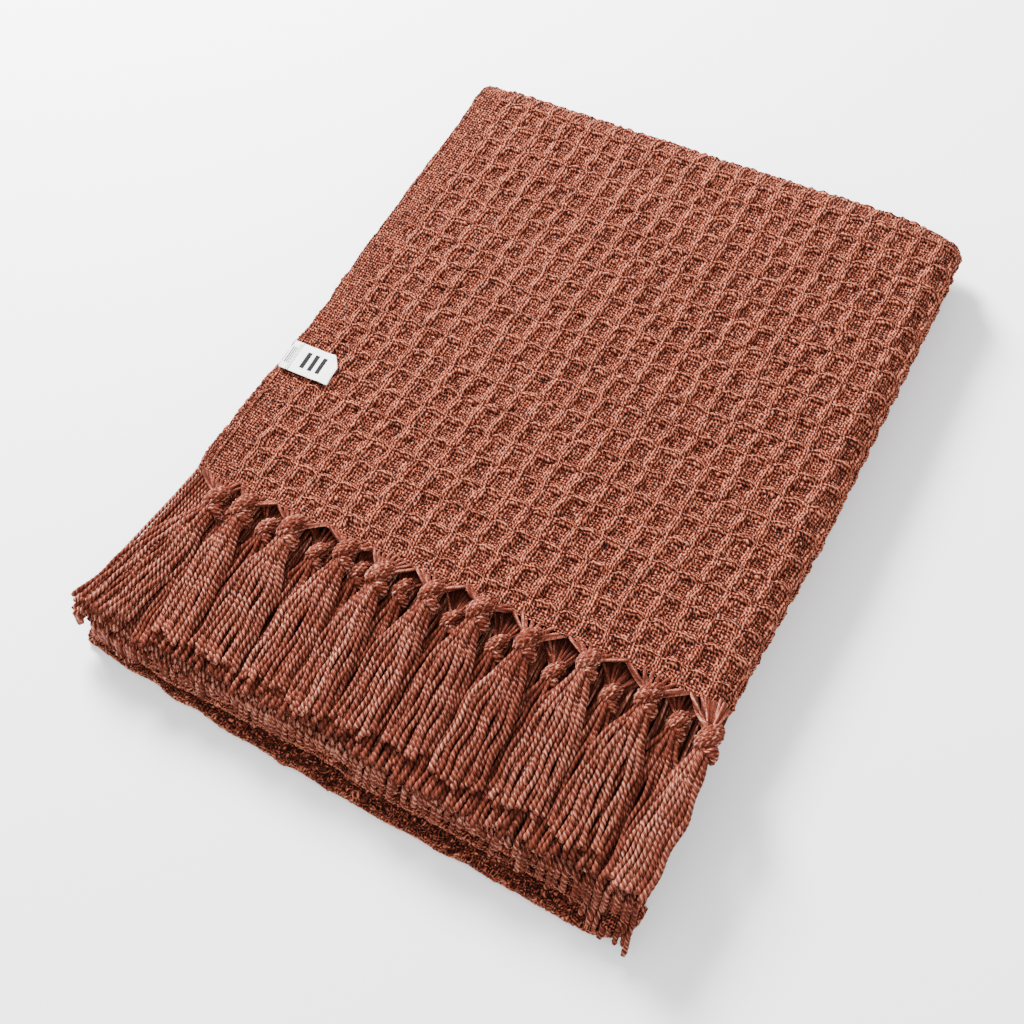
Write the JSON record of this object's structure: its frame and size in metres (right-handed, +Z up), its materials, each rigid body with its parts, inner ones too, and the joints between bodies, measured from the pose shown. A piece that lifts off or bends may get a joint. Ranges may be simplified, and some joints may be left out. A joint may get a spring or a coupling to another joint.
{
  "type": "folded throw blanket",
  "caption": "Woven waffle throw blanket with knotted tassel fringes and a side label, folded into a flat rectangular packet that opens at its back fold.",
  "frame": {"origin": "middle of the packet's underside, on the surface it lies on", "axes": "+X across the width from the selvedge to the side fold, +Y from the fringes to the back fold, +Z up"},
  "size_m": [0.3598, 0.4629, 0.0496],
  "materials": {
    "waffle_cloth": "matt waffle weave of twisted cotton yarn",
    "fringe_yarn": "matt two-ply twisted cotton yarn, cut and knotted",
    "label_ribbon": "smooth woven ribbon with a faint sheen",
    "label_thread": "matt sewing thread"
  },
  "bodies": {
    "lower_half": {"cloth_lower_leaf_1": "waffle_cloth", "cloth_lower_leaf_2": "waffle_cloth", "cloth_lower_leaf_3": "waffle_cloth", "cloth_lower_leaf_4": "waffle_cloth", "side_fold_lower": "waffle_cloth", "back_fold_lower": "waffle_cloth"},
    "upper_half": {"cloth_upper_leaf_1": "waffle_cloth", "cloth_upper_leaf_2": "waffle_cloth", "cloth_upper_leaf_3": "waffle_cloth", "cloth_upper_leaf_4": "waffle_cloth", "side_fold_upper": "waffle_cloth", "back_fold_upper": "waffle_cloth", "top_knot_01": "fringe_yarn", "top_knot_02": "fringe_yarn", "top_knot_03": "fringe_yarn", "top_knot_04": "fringe_yarn", "top_knot_05": "fringe_yarn", "top_knot_06": "fringe_yarn", "top_knot_07": "fringe_yarn", "top_knot_08": "fringe_yarn", "top_knot_09": "fringe_yarn", "top_knot_10": "fringe_yarn", "top_knot_11": "fringe_yarn", "under_tassel_01": "fringe_yarn", "under_tassel_02": "fringe_yarn", "under_tassel_03": "fringe_yarn", "under_tassel_04": "fringe_yarn", "under_tassel_05": "fringe_yarn", "under_tassel_06": "fringe_yarn", "under_tassel_07": "fringe_yarn", "under_tassel_08": "fringe_yarn", "under_tassel_09": "fringe_yarn", "under_tassel_10": "fringe_yarn", "fringe_of_leaf_2": "fringe_yarn", "fringe_of_leaf_3": "fringe_yarn", "fringe_of_leaf_4": "fringe_yarn", "label_sewn_end": "label_ribbon", "label_stitches": "label_thread"},
    "tassel_01": {"top_tassel_01": "fringe_yarn"},
    "tassel_02": {"top_tassel_02": "fringe_yarn"},
    "tassel_03": {"top_tassel_03": "fringe_yarn"},
    "tassel_04": {"top_tassel_04": "fringe_yarn"},
    "tassel_05": {"top_tassel_05": "fringe_yarn"},
    "tassel_06": {"top_tassel_06": "fringe_yarn"},
    "tassel_07": {"top_tassel_07": "fringe_yarn"},
    "tassel_08": {"top_tassel_08": "fringe_yarn"},
    "tassel_09": {"top_tassel_09": "fringe_yarn"},
    "tassel_10": {"top_tassel_10": "fringe_yarn"},
    "tassel_11": {"top_tassel_11": "fringe_yarn"},
    "label": {"label_flap": "label_ribbon"}
  },
  "joints": [
    {"name": "back_fold", "type": "hinge", "parent": "lower_half", "child": "upper_half", "pos_m": [0, 0.2315, 0.02105], "axis": [-1, 0, 0], "range_deg": [0, 178]},
    {"name": "tassel_01_lift", "type": "hinge", "parent": "upper_half", "child": "tassel_01", "pos_m": [-0.13575, -0.1168, 0.0436], "axis": [1, 0, 0], "range_deg": [-145, 0]},
    {"name": "tassel_02_lift", "type": "hinge", "parent": "upper_half", "child": "tassel_02", "pos_m": [-0.11787, -0.1138, 0.0436], "axis": [1, 0, 0], "range_deg": [-145, 0]},
    {"name": "tassel_03_lift", "type": "hinge", "parent": "upper_half", "child": "tassel_03", "pos_m": [-0.08603, -0.1138, 0.0436], "axis": [1, 0, 0], "range_deg": [-145, 0]},
    {"name": "tassel_04_lift", "type": "hinge", "parent": "upper_half", "child": "tassel_04", "pos_m": [-0.05028, -0.1128, 0.0436], "axis": [1, 0, 0], "range_deg": [-145, 0]},
    {"name": "tassel_05_lift", "type": "hinge", "parent": "upper_half", "child": "tassel_05", "pos_m": [-0.0259, -0.1168, 0.0436], "axis": [1, 0, 0], "range_deg": [-145, 0]},
    {"name": "tassel_06_lift", "type": "hinge", "parent": "upper_half", "child": "tassel_06", "pos_m": [0.00498, -0.1138, 0.0436], "axis": [1, 0, 0], "range_deg": [-145, 0]},
    {"name": "tassel_07_lift", "type": "hinge", "parent": "upper_half", "child": "tassel_07", "pos_m": [0.0339, -0.1108, 0.0436], "axis": [1, 0, 0], "range_deg": [-145, 0]},
    {"name": "tassel_08_lift", "type": "hinge", "parent": "upper_half", "child": "tassel_08", "pos_m": [0.0651, -0.1158, 0.0436], "axis": [1, 0, 0], "range_deg": [-145, 0]},
    {"name": "tassel_09_lift", "type": "hinge", "parent": "upper_half", "child": "tassel_09", "pos_m": [0.0989, -0.1118, 0.0436], "axis": [1, 0, 0], "range_deg": [-145, 0]},
    {"name": "tassel_10_lift", "type": "hinge", "parent": "upper_half", "child": "tassel_10", "pos_m": [0.13465, -0.1158, 0.0436], "axis": [1, 0, 0], "range_deg": [-145, 0]},
    {"name": "tassel_11_lift", "type": "hinge", "parent": "upper_half", "child": "tassel_11", "pos_m": [0.17137, -0.1228, 0.0436], "axis": [1, 0, 0], "range_deg": [-145, 0]},
    {"name": "label_flip", "type": "hinge", "parent": "upper_half", "child": "label", "pos_m": [-0.14575, -0.015, 0.044], "axis": [0, 1, 0], "range_deg": [-160, 0]}
  ]
}
